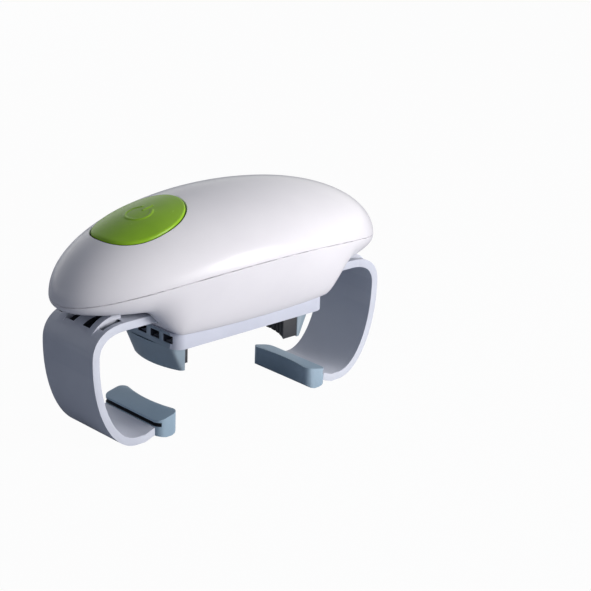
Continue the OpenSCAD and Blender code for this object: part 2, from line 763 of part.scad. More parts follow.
module chassis() {
    color("#d8d4c8")
        difference() {
            union() {
                translate([0, 0, chassis_z])
                    linear_extrude(chassis_t)
                        polygon([
                            [-chassis_x, -chassis_y + 3], [-chassis_x + 5, -chassis_y],
                            [post_x + 3, -chassis_y], [chassis_end_x, -chassis_y + 9],
                            [chassis_end_x, chassis_y - 9], [post_x + 3, chassis_y],
                            [-chassis_x + 5, chassis_y], [-chassis_x, chassis_y - 3]
                        ]);
                translate([0, 0, hub_top_z + 0.3])
                    cylinder(h = chassis_z - hub_top_z, r = sleeve_r, $fn = 64);
                for (p = pillars)
                    translate([p.x, p.y, chassis_z])
                        cylinder(h = gear_cover_z - chassis_z, r = pillar_r, $fn = 48);
                for (p = board_posts)
                    if (p.x > -button_x)
                        translate([p.x, p.y, chassis_z])
                            cylinder(h = board_z - chassis_z, r = 3, $fn = 48);
            }
            translate([0, 0, floor_top_z])
                cylinder(h = 30, r = spindle_r + run_gap, $fn = 48);
            for (p = [second_at, first_at])
                translate([p.x, p.y, chassis_z - 1])
                    cylinder(h = 9, r = pin_r + run_gap, $fn = 32);
            for (x = [-1, 1], y = [-1, 1])
                translate([x * post_x, y * post_y, chassis_z - 1])
                    cylinder(h = 9, r = screw_r + 0.3, $fn = 32);
            for (p = pillars)
                translate([p.x, p.y, gear_cover_z - 6])
                    cylinder(h = 9, r = small_screw_r + run_gap, $fn = 32);
            for (p = board_posts)
                translate([p.x, p.y, board_z - 6])
                    cylinder(h = 9, r = small_screw_r + run_gap, $fn = 32);
        }
}

module gear_cover() {
    color("#c9c5ba")
        difference() {
            translate([0, 0, gear_cover_z])
                linear_extrude(gear_cover_t)
                    polygon([
                        pillars[3] + [-4, -3], pillars[3] + [-1, 3.5],
                        pillars[2] + [1, 3.5], pillars[2] + [4, -1],
                        first_at + [7, 9.4], first_at + [8, -14.6], pillars[1] + [4.5, -0.6],
                        pillars[0] + [1, -3.5], pillars[0] + [-3.5, -1.5]
                    ]);
            for (p = [second_at, first_at])
                translate([p.x, p.y, gear_cover_z - 1])
                    cylinder(h = 4, r = pin_r + run_gap, $fn = 32);
            translate([0, 0, gear_cover_z - 1])
                cylinder(h = 4, r = spindle_top_r + run_gap, $fn = 32);
            translate([motor_at.x, motor_at.y, gear_cover_z - 1])
                cylinder(h = 4, r = 3.2, $fn = 32);
            for (p = pillars)
                translate([p.x, p.y, gear_cover_z - 1])
                    cylinder(h = 4, r = small_screw_r + run_gap, $fn = 32);
        }
}

module gear_pins() {
    color("silver")
        for (p = [second_at, first_at])
            translate([p.x, p.y, chassis_z + 0.2])
                cylinder(h = gear_cover_top_z - chassis_z - 0.2, r = pin_r, $fn = 32);
}

module small_screw(length) {
    cylinder(h = 1.2, r = small_head_r, $fn = 32);
    translate([0, 0, -length])
        cylinder(h = length + 0.1, r = small_screw_r, $fn = 32);
}

module cover_screws() {
    color("silver")
        for (p = pillars)
            translate([p.x, p.y, gear_cover_top_z])
                small_screw(6);
}

// Batteries lie along X in a tray under the door
battery_r = 7.2;
battery_l = 50.5;
battery_x = -19;
battery_ys = [12.9, 27.7];
tray_t = 1.2;
tray_z = gear_cover_top_z + 0.2;
battery_z = tray_z + tray_t + 0.2 + battery_r;
tray_x1 = battery_x - 3.4;
tray_x2 = battery_x + battery_l + 3.4;
tray_y1 = battery_ys[0] - battery_r - 0.3;
tray_y2 = battery_ys[1] + battery_r + 0.3;

module batteries() {
    color("dimgray")
        for (i = [0, 1])
            translate([battery_x + battery_l / 2, battery_ys[i], battery_z])
                rotate([0, i == 0 ? 90 : -90, 0]) {
                    translate([0, 0, -battery_l / 2])
                        cylinder(h = battery_l - 1.4, r = battery_r, $fn = 64);
                    translate([0, 0, battery_l / 2 - 1.5])
                        cylinder(h = 1.5, r = 2.7, $fn = 32);
                }
}

module battery_tray() {
    color("#e2e1e4")
        translate([0, 0, tray_z])
            difference() {
                translate([tray_x1 - 1.4, tray_y1 - 1, 0])
                    cube([tray_x2 - tray_x1 + 2.8, tray_y2 - tray_y1 + 2, battery_r + 2]);
                translate([tray_x1, tray_y1, tray_t])
                    cube([tray_x2 - tray_x1, tray_y2 - tray_y1, big]);
                // Holes that the heads of the cover screws stand in
                for (p = pillars)
                    translate([p.x, p.y, -1])
                        cylinder(h = tray_t + 2, r = small_head_r + 0.3, $fn = 32);
            }
}

contact_t = 0.4;
contact_half = 5;
module contact_plates() {
    color("gainsboro")
        for (x = [tray_x1 + 0.1, tray_x2 - contact_t - 0.1], y = battery_ys)
            translate([x, y - contact_half, tray_z + tray_t + 0.1])
                cube([contact_t, 2 * contact_half, battery_r + 4]);
}

// Helical wire along Z: rings of six points, one unbroken tube
function coil_ring(a, turns, r, wire, length) =
    [for (j = [0 : 5])
        let (q = r + wire * cos(60 * j))
        [q * cos(a), q * sin(a), wire * sin(60 * j) + length * a / 360 / turns]];
module coil(turns, r, wire, length) {
    steps = turns * 8;
    rings = [for (i = [0 : steps]) coil_ring(360 * turns * i / steps, turns, r, wire, length)];
    ring_skin(rings, [r, 0, 0], [r * cos(360 * turns), r * sin(360 * turns), length]);
}

spring_wire = 0.35;
module contact_springs() {
    color("silver")
        for (i = [0, 1])
            let (x = i == 0 ? tray_x1 + contact_t + 0.55 : tray_x2 - contact_t - 0.55)
                translate([x, battery_ys[i], battery_z])
                    rotate([0, i == 0 ? 90 : -90, 0])
                        coil(2, 3.2, spring_wire, 1.9);
}

// Switch under the button
board_half_l = 16;
board_half_w = 14;
board_t = 1.6;
flange_gap = 0.45;
cap_under_z = dome_z(-button_x, 0, wall + flange_gap);
cap_hub_h = 2.2;
spring_seat_z = cap_under_z - cap_hub_h;
spring_room = 5.6;
switch_top_z = spring_seat_z - spring_room;
switch_h = 7;
switch_z = switch_top_z - switch_h;
board_z = switch_z - 0.2 - board_t;
board_posts = [for (x = [-1, 1], y = [-1, 1])
    [-button_x + x * (board_half_l - 3.5), y * (board_half_w - 3.5)]];
plunger_r = 3;
stem_r = 4;
stem_z = switch_top_z + button_travel + 0.4;

module circuit_board() {
    color("#2f6b45")
        difference() {
            translate([-button_x - board_half_l, -board_half_w, board_z + 0.1])
                cube([2 * board_half_l, 2 * board_half_w, board_t]);
            for (p = board_posts)
                translate([p.x, p.y, board_z - 1])
                    cylinder(h = 9, r = small_screw_r + run_gap, $fn = 32);
        }
}

module board_screws() {
    color("silver")
        for (p = board_posts)
            translate([p.x, p.y, board_z + board_t + 0.1])
                small_screw(6);
}

module switch_body() {
    color("#222226")
        difference() {
            translate([-button_x - 6, -6, switch_z])
                cube([12, 12, switch_h]);
            translate([-button_x, 0, switch_top_z - 4.4])
                cylinder(h = 9, r = plunger_r + run_gap, $fn = 48);
        }
}

module switch_plunger() {
    color("#e8e8ea")
        translate([-button_x, 0, switch_top_z - 2])
            cylinder(h = stem_z - 0.1 - switch_top_z + 2, r = plunger_r, $fn = 48);
}

module button_spring() {
    color("silver")
        translate([-button_x, 0, switch_top_z + 0.5])
            coil(4, 5.2, spring_wire, spring_seat_z - switch_top_z - 1);
}

flange = 2;
flange_t = 1.5;
button_n = 2.2;

module power_button() {
    c = [-button_x, 0];
    a = button_half_l - button_gap;
    b = button_half_w - button_gap;
    under = wall + flange_gap;
    deep = under + flange_t;
    color("#7cb629") {
        ring_skin(
            [
                oval_on_dome(c, a, b, button_n, 0.4, -button_proud),
                oval_on_dome(c, a, b, button_n, 0.75, -button_proud),
                oval_on_dome(c, a, b, button_n, 0.975, -button_proud),
                oval_on_dome(c, a, b, button_n, 1, 0.5 - button_proud),
                oval_on_dome(c, a, b, button_n, 1, under),
                oval_on_dome(c, a + flange, b + flange, button_n, 1, under),
                oval_on_dome(c, a + flange, b + flange, button_n, 1, deep),
                oval_on_dome(c, a + flange, b + flange, button_n, 0.5, deep)
            ],
            on_dome(c, -button_proud),
            on_dome(c, deep)
        );
        translate([-button_x, 0, stem_z])
            cylinder(h = cap_under_z + 0.6 - stem_z, r = stem_r, $fn = 48);
        translate([-button_x, 0, spring_seat_z])
            cylinder(h = cap_under_z + 0.6 - spring_seat_z, r = stem_r + 3, $fn = 48);
    }
}

// Battery door: an oblong patch of the dome on the side away from the button's view
door_c = [8, 27];
door_half_l = 27;
door_half_w = 8.8;
door_gap = 0.35;
door_n = 6;

module battery_door() {
    a = door_half_l - door_gap;
    b = door_half_w - door_gap;
    color("#ebe9ee")
        ring_skin(
            [
                oval_on_dome(door_c, a, b, door_n, 0.4, 0),
                oval_on_dome(door_c, a, b, door_n, 0.75, 0),
                oval_on_dome(door_c, a, b, door_n, 1, 0),
                oval_on_dome(door_c, a, b, door_n, 1, wall),
                oval_on_dome(door_c, a, b, door_n, 0.5, wall)
            ],
            on_dome(door_c, 0),
            on_dome(door_c, wall)
        );
}

module upper_shell() {
    outer_steps = 11;
    inner_steps = 10;
    color("#efedf1")
        difference() {
            union() {
                ring_skin(
                    concat(
                        [for (k = [outer_steps - 1 : -1 : 0]) upper_ring(sin(90 * k / outer_steps), 0)],
                        [for (k = [0 : inner_steps - 1]) upper_ring(sin(90 * k / inner_steps), wall)]
                    ),
                    [0, 0, top_z],
                    [0, 0, top_z - wall]
                );
                for (x = [-1, 1], y = [-1, 1])
                    translate([x * post_x, y * post_y, chassis_top_z + 0.2])
                        cylinder(h = boss_top_z - chassis_top_z - 0.2, r = boss_r, $fn = 48);
            }
            for (x = [-1, 1], y = [-1, 1])
                translate([x * post_x, y * post_y, chassis_top_z - 1])
                    cylinder(h = 17, r = screw_r + run_gap, $fn = 32);
            translate([0, 0, seam_mid_z])
                linear_extrude(top_z)
                    polygon(oval_points([-button_x, 0], button_half_l, button_half_w, button_n));
            translate([0, 0, seam_mid_z])
                linear_extrude(top_z)
                    polygon(oval_points(door_c, door_half_l, door_half_w, door_n));
        }
}

module lower_shell() {
    outer_walls = 7;
    inner_walls = 5;
    floors = [0.9, 0.82, 0.75, 0.69, 0.63, 0.57, 0.51, 0.25];
    color("#e6e4e9")
        difference() {
            union() {
                ring_skin(
                    concat(
                        [for (i = [len(floors) - 1 : -1 : 0]) floor_ring(floors[i], wall)],
                        [for (k = [inner_walls : -1 : 0]) wall_ring(k / inner_walls, wall)],
                        [for (k = [0 : outer_walls]) wall_ring(k / outer_walls, 0)],
                        [for (s = floors) floor_ring(s, 0)]
                    ),
                    [0, 0, skirt_z + wall],
                    [0, 0, skirt_z]
                );
                for (x = [-1, 1], y = [-1, 1])
                    translate([x * post_x, y * post_y, skirt_z + wall / 2])
                        cylinder(h = chassis_z - 0.1 - skirt_z - wall / 2, r = post_r, $fn = 48);
                // Rails under the rack bars
                for (x = [-1, 1], y = [-1, 1])
                    translate([x * 30 - 14, y * rail_y - rail_w / 2, skirt_z + wall / 2])
                        cube([28, rail_w, arm_bottom_z - rail_h_gap - skirt_z - wall / 2]);
                for (p = board_posts)
                    if (p.x < -button_x)
                        translate([p.x, p.y, end_floor_z + wall / 2])
                            cylinder(h = board_z - end_floor_z - wall / 2, r = 3, $fn = 48);
            }
            for (x = [-1, 1], y = [-1, 1])
                translate([x * post_x, y * post_y, skirt_z - 1]) {
                    cylinder(h = 30, r = screw_r + 0.3, $fn = 32);
                    cylinder(h = head_z - skirt_z + 1, r = head_r + 0.3, $fn = 32);
                }
            for (p = board_posts)
                if (p.x < -button_x)
                    translate([p.x, p.y, board_z - 6])
                        cylinder(h = 9, r = small_screw_r + run_gap, $fn = 32);
            translate([0, 0, skirt_z - 1])
                cylinder(h = wall + 2, r = bush_hole_r, $fn = 64);
            // Slots that the arms slide in
            for (turn = [0, 180])
                rotate(turn) {
                    translate([skirt_half - 2, -arm_w / 2 - arm_slot_gap, arm_bottom_z - arm_slot_gap])
                        cube([skirt_run + 8, arm_w + 2 * arm_slot_gap, arm_t + 2 * arm_slot_gap]);
                    for (side = [-1, 1])
                        translate([skirt_half - 2, side * guide_rib_y - notch_w / 2, arm_bottom_z])
                            cube([skirt_run + 8, notch_w, arm_t + guide_rib_h + arm_slot_gap]);
                }
        }
}

module shell_screws() {
    color("silver")
        for (x = [-1, 1], y = [-1, 1])
            translate([x * post_x, y * post_y, 0]) {
                translate([0, 0, head_z - 2.2])
                    cylinder(h = 2.1, r = head_r, $fn = 32);
                translate([0, 0, head_z - 0.2])
                    cylinder(h = chassis_top_z + 14 - head_z, r = screw_r, $fn = 32);
            }
}

upper_shell();
lower_shell();
battery_door();
power_button();
switch_plunger();
button_spring();
circuit_board();
switch_body();
board_screws();
battery_tray();
batteries();
contact_plates();
contact_springs();
chassis();
gear_cover();
gear_pins();
cover_screws();
shell_screws();
motor();
motor_pinion();
first_gear();
second_gear();
turn_bush();
carrier();
carrier_cover();
carrier_screws();
spindle();
drive_gear();
retaining_clip();
jaw_pin();
jaw_pinion();
arm_pinion();
left_arm();
right_arm();
left_pad();
right_pad();
left_jaw();
right_jaw();
left_jaw_pad();
right_jaw_pad();
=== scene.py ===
import math

import bmesh
import bpy
from mathutils import Matrix, Vector
from mathutils.bvhtree import BVHTree


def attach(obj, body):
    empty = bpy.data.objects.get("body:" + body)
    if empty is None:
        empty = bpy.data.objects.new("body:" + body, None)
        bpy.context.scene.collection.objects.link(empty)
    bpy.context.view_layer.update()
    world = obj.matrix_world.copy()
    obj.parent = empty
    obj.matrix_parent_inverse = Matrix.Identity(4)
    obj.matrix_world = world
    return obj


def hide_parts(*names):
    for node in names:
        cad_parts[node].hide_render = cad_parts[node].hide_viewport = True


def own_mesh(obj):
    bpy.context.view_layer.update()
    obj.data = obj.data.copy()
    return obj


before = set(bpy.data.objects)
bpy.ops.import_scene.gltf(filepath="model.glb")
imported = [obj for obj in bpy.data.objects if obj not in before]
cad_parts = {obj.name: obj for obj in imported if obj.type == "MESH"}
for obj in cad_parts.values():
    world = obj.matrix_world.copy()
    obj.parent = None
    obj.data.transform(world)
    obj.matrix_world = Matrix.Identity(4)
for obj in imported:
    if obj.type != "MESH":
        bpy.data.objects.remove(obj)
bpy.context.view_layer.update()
mm = 0.001
print("frame loaded:", len(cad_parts), "nodes")

# camera, fitted to the photograph's view: place in metres, angles in degrees, lens and sensor in millimetres
view = {"place": (-0.5668, -0.6482, 0.3631), "azimuth": 43.7, "pitch": 19.6, "roll": 2.0,
        "lens": 112.03, "sensor": 36, "clip": (0.05, 20)}


def photoCamera():
    azimuth, pitch, roll = (math.radians(view[key]) for key in ("azimuth", "pitch", "roll"))
    flat = math.cos(pitch)
    forward = Vector((math.sin(azimuth) * flat, math.cos(azimuth) * flat, -math.sin(pitch)))
    level = Vector((math.cos(azimuth), -math.sin(azimuth), 0))
    upward = level.cross(forward)
    right = level * math.cos(roll) + upward * math.sin(roll)
    top = upward * math.cos(roll) - level * math.sin(roll)
    data = bpy.data.cameras.new("camera")
    data.lens, data.sensor_width, data.sensor_fit = view["lens"], view["sensor"], "HORIZONTAL"
    data.clip_start, data.clip_end = view["clip"]
    camera = bpy.data.objects.new("camera", data)
    camera.matrix_world = Matrix((right, top, -forward)).transposed().to_4x4()
    camera.matrix_world.translation = Vector(view["place"])
    bpy.context.scene.collection.objects.link(camera)
    bpy.context.scene.camera = camera


photoCamera()
print("camera set")


# shader building: a Wire is one socket, so maths on it reads as an expression
class Wire:
    def __init__(self, paint, socket):
        self.paint, self.socket = paint, socket

    def math(self, operation, *values):
        return self.paint.add("ShaderNodeMath", {"operation": operation}, dict(enumerate(values)))

    def __add__(self, other): return self.math("ADD", self, other)
    def __sub__(self, other): return self.math("SUBTRACT", self, other)
    def __rsub__(self, other): return self.math("SUBTRACT", other, self)
    def __mul__(self, other): return self.math("MULTIPLY", self, other)
    __radd__, __rmul__ = __add__, __mul__


class Paint:
    def __init__(self, name, shader="ShaderNodeBsdfPrincipled", **fixed):
        self.material = bpy.data.materials.new(name)
        self.material.use_nodes = True
        self.tree = self.material.node_tree
        self.tree.nodes.clear()
        self.shader = self.tree.nodes.new(shader)
        output = self.tree.nodes.new("ShaderNodeOutputMaterial")
        self.tree.links.new(self.shader.outputs[0], output.inputs[0])
        for key, value in fixed.items():
            self.shader.inputs[key.replace("_", " ")].default_value = value

    def add(self, kind, settings=None, inputs=None, out=0):
        # one node: its settings first, then the values or wires of its sockets
        node = self.tree.nodes.new(kind)
        for key, value in (settings or {}).items():
            setattr(node, key, value)
        for key, value in (inputs or {}).items():
            if isinstance(value, Wire):
                self.tree.links.new(value.socket, node.inputs[key])
            else:
                node.inputs[key].default_value = value
        return Wire(self, node.outputs[out])

    def drive(self, name, value):
        self.tree.links.new(value.socket, self.shader.inputs[name])

    def place(self, scale=(1, 1, 1)):
        point = self.add("ShaderNodeTexCoord", out="Object")
        return self.add("ShaderNodeMapping", {}, {"Vector": point, "Scale": scale})

    def axis(self, name):
        return self.add("ShaderNodeSeparateXYZ", {}, {"Vector": self.place()}, out=name)

    def noise(self, scale, detail=3.0, rough=0.55, stretch=(1, 1, 1)):
        return self.add("ShaderNodeTexNoise", {}, {
            "Vector": self.place(stretch), "Scale": scale, "Detail": detail, "Roughness": rough})

    def cells(self, scale, feature="F1"):
        return self.add("ShaderNodeTexVoronoi", {"feature": feature}, {"Vector": self.place(), "Scale": scale})

    def ramp(self, value, low, high):
        return self.add("ShaderNodeMapRange", {}, {"Value": value, "From Min": low, "From Max": high})

    def mix(self, factor, first, second):  # the node's colour sockets go by number
        return self.add("ShaderNodeMix", {"data_type": "RGBA"}, {0: factor, 6: first, 7: second}, out=2)

    def bump(self, height, distance, strength=1.0):
        inputs = {"Height": height, "Distance": distance, "Strength": strength}
        self.drive("Normal", self.add("ShaderNodeBump", {}, inputs))

    def edges(self, low, high):  # bright where the surface is convex
        return self.ramp(self.add("ShaderNodeNewGeometry", out="Pointiness"), low, high)


class Sky(Paint):
    def __init__(self, name):
        world = bpy.data.worlds.new(name)
        bpy.context.scene.world = world
        world.use_nodes = True
        self.tree = world.node_tree
        self.shader = self.tree.nodes["Background"]


def tone(text):  # "rrggbb" as a scene-linear colour
    parts = [int(text[i:i + 2], 16) / 255 for i in (0, 2, 4)]
    return tuple(c / 12.92 if c <= 0.04045 else ((c + 0.055) / 1.055) ** 2.4 for c in parts) + (1.0,)


# what every moulded finish has, unless its own look says otherwise; texture scales are per metre
plastic = {"specular": 0.5, "ior": 1.5, "coat": 0.0, "coatRough": 0.08,
           "cloud": 28, "cloudDetail": 4, "cloudRange": (0.3, 0.7), "wear": 0.35, "wearRange": (0.52, 0.60),
           "speckRange": (0.02, 0.12), "speckShare": 0.25, "grainDetail": 2, "grainRough": 0.6,
           "coarse": 0.22, "coarseShare": 1.6,
           "rub": 90, "rubDetail": 5, "rubRough": 0.7, "rubStretch": (1, 1, 0.4), "roughSpread": 0.10}


def moulded(name, own):
    # moulded plastic or rubber: faint cloudiness, a fine grain in the surface, paler worn edges
    look = {**plastic, **own}
    paint = Paint(name, Specular_IOR_Level=look["specular"], Coat_Roughness=look["coatRough"],
                  Coat_Weight=look["coat"], IOR=look["ior"])
    cloud = paint.ramp(paint.noise(look["cloud"], look["cloudDetail"]), *look["cloudRange"])
    fine = paint.noise(look["grain"], look["grainDetail"], look["grainRough"])
    colour = paint.mix(cloud, tone(look["dark"]), tone(look["light"]))
    if "worn" in look:
        colour = paint.mix(paint.edges(*look["wearRange"]) * look["wear"], colour, tone(look["worn"]))
    if "speck" in look:
        speck = 1 - paint.ramp(paint.cells(look["speck"]), *look["speckRange"])
        colour = paint.mix(speck * look["speckShare"], colour, tone(look.get("worn", look["light"])))
    paint.drive("Base Color", colour)
    rub = paint.noise(look["rub"], look["rubDetail"], look["rubRough"], look["rubStretch"])
    paint.drive("Roughness", look["rough"] + (rub - 0.5) * look["roughSpread"])
    coarse = paint.noise(look["grain"] * look["coarse"], look["grainDetail"])
    paint.bump(fine + coarse * look["coarseShare"], look["depth"])
    return paint.material


bareMetal = {"along": (1, 1, 0.03), "lineDetail": 2, "lineRough": 0.5, "lineShare": 0.3, "depth": 0.00002,
             "strength": 0.8, "stain": 60, "stainDetail": 4, "stainRange": (0.35, 0.75), "stainShare": 0.06}


def metal(name, own):
    # bare metal with drawn or turned lines and a little staining
    look = {**bareMetal, **own}
    paint = Paint(name, Metallic=1.0)
    lines = paint.noise(look["lines"], look["lineDetail"], look["lineRough"], look["along"])
    stain = paint.ramp(paint.noise(look["stain"], look["stainDetail"]), *look["stainRange"])
    paint.drive("Base Color", paint.mix(stain, tone(look["light"]), tone(look["dark"])))
    paint.drive("Roughness", look["rough"] + (lines - 0.5) * look["lineShare"] + stain * look["stainShare"])
    paint.bump(lines, look["depth"], look["strength"])
    return paint.material


looks = {
    "shell": {"dark": "e7e5ea", "light": "f0eef2", "rough": 0.26, "roughSpread": 0.05, "coat": 0.1,
              "coatRough": 0.06, "specular": 0.25, "grain": 2600, "depth": 0.000004, "cloud": 14, "speck": 170},
    "button": {"dark": "83b11e", "light": "92c028", "rough": 0.26, "roughSpread": 0.06, "specular": 0.18,
               "grain": 2200, "depth": 0.000004, "cloud": 40, "worn": "aede52"},
    # near-black paint for the button's sides: painted shade for the gap round the button
    "buttonGapShade": {"dark": "14180e", "light": "1d2214", "rough": 0.5, "grain": 2200, "depth": 0.00001},
    "arm": {"dark": "c4c8d4", "light": "d0d4df", "rough": 0.36, "specular": 0.25, "grain": 2400,
            "depth": 0.000016, "cloud": 20, "worn": "dfe2ea", "wear": 0.25, "speck": 240},
    "carrier": {"dark": "c4c8d6", "light": "d1d4e0", "rough": 0.30, "specular": 0.25, "grain": 2400,
                "depth": 0.000010, "worn": "e6eaf2", "wear": 0.3},
    "jaw": {"dark": "7e8f9b", "light": "8c9ca8", "rough": 0.34, "specular": 0.2, "grain": 2400,
            "depth": 0.000014, "worn": "c3ced8", "wear": 0.3},
    "pad": {"dark": "8ea4b5", "light": "9bb0c0", "rough": 0.48, "specular": 0.2, "grain": 1500,
            "depth": 0.000030, "worn": "c2cfda", "wear": 0.3, "speck": 300},
    # near-black paint for the arm pockets and the jar pads' grooves: painted shade
    "recessShade": {"dark": "202329", "light": "292c33", "rough": 0.7, "specular": 0.2, "grain": 1500,
               "depth": 0.00002},
    # dark paint for the inside of the turning tray: painted shade
    "trayInsideShade": {"dark": "3c414b", "light": "474d58", "rough": 0.6, "grain": 1500, "depth": 0.00002},
    "ribbed": {"dark": "1a1b1e", "light": "26272b", "rough": 0.62, "grain": 1600, "depth": 0.00004,
               "worn": "45464b", "wear": 0.5},
    "acetal": {"dark": "d6d3c8", "light": "e2dfd5", "rough": 0.42, "grain": 1800, "depth": 0.00001,
               "worn": "f1efe8"},
    "chassis": {"dark": "c9c5b8", "light": "d6d2c6", "rough": 0.5, "grain": 1300, "depth": 0.00002,
                "worn": "e6e3d9"},
    "tray": {"dark": "d9d8dc", "light": "e4e3e7", "rough": 0.5, "grain": 1300, "depth": 0.00002,
             "worn": "f2f1f4"},
    "blackPart": {"dark": "1b1b1e", "light": "28282c", "rough": 0.45, "grain": 1700, "depth": 0.00002,
                  "worn": "4a4a50"},
}
metals = {
    "steel": {"light": "c9c9cd", "dark": "a9a8a9", "rough": 0.30, "lines": 900},
    "motorCan": {"light": "bfbfc3", "dark": "9b9a9c", "rough": 0.34, "lines": 700, "along": (0.05, 0.05, 1)},
    "brass": {"light": "d9b560", "dark": "b08a3e", "rough": 0.28, "lines": 800},
    "nickel": {"light": "dad7cf", "dark": "bcb8ae", "rough": 0.2, "lines": 1200},
}
boardLook = {"coat": 0.4, "coatRough": 0.15, "tracks": 260, "trackRange": (0.08, 0.1), "pads": 190,
             "padRange": (0.16, 0.2), "track": "2f7a4c", "lacquer": "1f5a38", "tin": "c8c6bd",
             "rough": 0.35, "mottle": 300, "mottleShare": 0.15, "depth": 0.00003}
cellLook = {"coat": 0.5, "coatRough": 0.1, "bandRange": (0.0185, 0.0187), "sleeve": "26262a", "band": "b9743a",
            "scuff": "5a5a60", "scuffs": 400, "scuffDetail": 4, "scuffRange": (0.4, 0.8), "scuffShare": 0.2,
            "rough": 0.28, "mottle": 200, "mottleShare": 0.12, "grain": 500, "depth": 0.00001}


def boardPaint(name, look):
    # green lacquer over copper tracks, with tinned pads
    paint = Paint(name, Coat_Weight=look["coat"], Coat_Roughness=look["coatRough"])
    tracks = paint.ramp(paint.cells(look["tracks"], "DISTANCE_TO_EDGE"), *look["trackRange"])
    pads = 1 - paint.ramp(paint.cells(look["pads"]), *look["padRange"])
    lacquer = paint.mix(tracks, tone(look["track"]), tone(look["lacquer"]))
    paint.drive("Base Color", paint.mix(pads, lacquer, tone(look["tin"])))
    paint.drive("Metallic", pads)
    paint.drive("Roughness", look["rough"] + paint.noise(look["mottle"]) * look["mottleShare"])
    paint.bump(tracks + pads, look["depth"])
    return paint.material


def cellPaint(name, look):
    # battery wrap: a dark sleeve with a copper-coloured band towards one end
    paint = Paint(name, Coat_Weight=look["coat"], Coat_Roughness=look["coatRough"])
    band = paint.ramp(paint.axis("X"), *look["bandRange"])
    wrap = paint.mix(band, tone(look["sleeve"]), tone(look["band"]))
    scuffs = paint.ramp(paint.noise(look["scuffs"], look["scuffDetail"]), *look["scuffRange"])
    paint.drive("Base Color", paint.mix(scuffs * look["scuffShare"], wrap, tone(look["scuff"])))
    paint.drive("Roughness", look["rough"] + paint.noise(look["mottle"]) * look["mottleShare"])
    paint.bump(paint.noise(look["grain"]), look["depth"])
    return paint.material


paints = {name: moulded(name, look) for name, look in looks.items()}
paints.update({name: metal(name, look) for name, look in metals.items()})
paints["board"] = boardPaint("board", boardLook)
paints["cellWrap"] = cellPaint("cellWrap", cellLook)
print("materials made:", len(paints))


# piece building: forms are in millimetres, meshes in metres
def finished(piece, body, paint, node, smooth=0):
    # smooth is the angle from which an edge stays sharp; 0 leaves the shading as it is
    mesh = piece.data
    mesh.materials.clear()
    for name in ([paint] if isinstance(paint, str) else paint):
        mesh.materials.append(paints[name])
    if smooth:
        shape = bmesh.new()
        shape.from_mesh(mesh)
        for face in shape.faces:
            face.smooth = True
        for edge in shape.edges:
            edge.smooth = len(edge.link_faces) == 2 and edge.calc_face_angle(0) < math.radians(smooth)
        shape.to_mesh(mesh)
        shape.free()
    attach(piece, body)
    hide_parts(node)


def linked(name, mesh):
    piece = bpy.data.objects.new(name, mesh)
    bpy.context.scene.collection.objects.link(piece)
    return piece


def meshPiece(name, points, faces):
    mesh = bpy.data.meshes.new(name)
    mesh.from_pydata([Vector(p) * mm for p in points], [], faces)
    shape = bmesh.new()
    shape.from_mesh(mesh)
    bmesh.ops.recalc_face_normals(shape, faces=shape.faces)
    if shape.calc_volume(signed=True) < 0:
        bmesh.ops.reverse_faces(shape, faces=shape.faces)
    shape.to_mesh(mesh)
    shape.free()
    mesh.update()
    return linked(name, mesh)


def ringSkin(name, rings, first, last):
    # closed skin over rings of equal count, from a first point to a last one
    count = len(rings[0])
    points = [p for ring in rings for p in ring] + [first, last]
    faces = []
    for i in range(len(rings) - 1):
        for j in range(count):
            a, b = i * count + j, i * count + (j + 1) % count
            faces.append((a, b, b + count, a + count))
    end = len(rings) * count
    for j in range(count):
        k = (j + 1) % count
        faces += [(end, k, j), (end + 1, end - count + j, end - count + k)]
    return meshPiece(name, points, faces)


def applied(piece):
    graph = bpy.context.evaluated_depsgraph_get()
    mesh = bpy.data.meshes.new_from_object(piece.evaluated_get(graph))
    piece.modifiers.clear()
    piece.data = mesh


def cut(piece, *cutters):
    for cutter in cutters:
        step = piece.modifiers.new("cut", "BOOLEAN")
        step.operation, step.solver, step.object = "DIFFERENCE", "MANIFOLD", cutter
    applied(piece)
    for cutter in cutters:
        bpy.data.objects.remove(cutter)


curve = {"reach": 0.00002, "facing": 0.8, "least": 1e-7}  # metres, cosine, metres


def keepCurve(piece, source):
    # after a cut: normals of the uncut smooth surface, so that its gloss stays even
    points = [v.co.copy() for v in source.vertices]
    normals = [v.normal.copy() for v in source.vertices]
    polys = [tuple(p.vertices) for p in source.polygons]
    tree = BVHTree.FromPolygons(points, polys)
    mesh = piece.data
    out = []
    for poly in mesh.polygons:
        flat = poly.normal
        for index in poly.vertices:
            spot, faceNormal, face, far = tree.find_nearest(mesh.vertices[index].co)
            if face is None or far > curve["reach"] or faceNormal.dot(flat) < curve["facing"]:
                out.append(flat)
                continue
            total, weights = Vector(), 0
            for corner in polys[face]:
                weight = 1 / ((points[corner] - spot).length + curve["least"])
                total += normals[corner] * weight
                weights += weight
            out.append((total / weights).normalized())
    mesh.normals_split_custom_set(out)


def painted(piece, paintOf):
    # picks each face's paint from its middle and its lowest and highest points, in millimetres
    points = piece.data.vertices
    for poly in piece.data.polygons:
        heights = [points[i].co.z / mm for i in poly.vertices]
        poly.material_index = paintOf(poly.center / mm, min(heights), max(heights))


rounding = {"merge": 0.000002, "flat": 0.4, "sharp": 32}  # metres, degrees, degrees


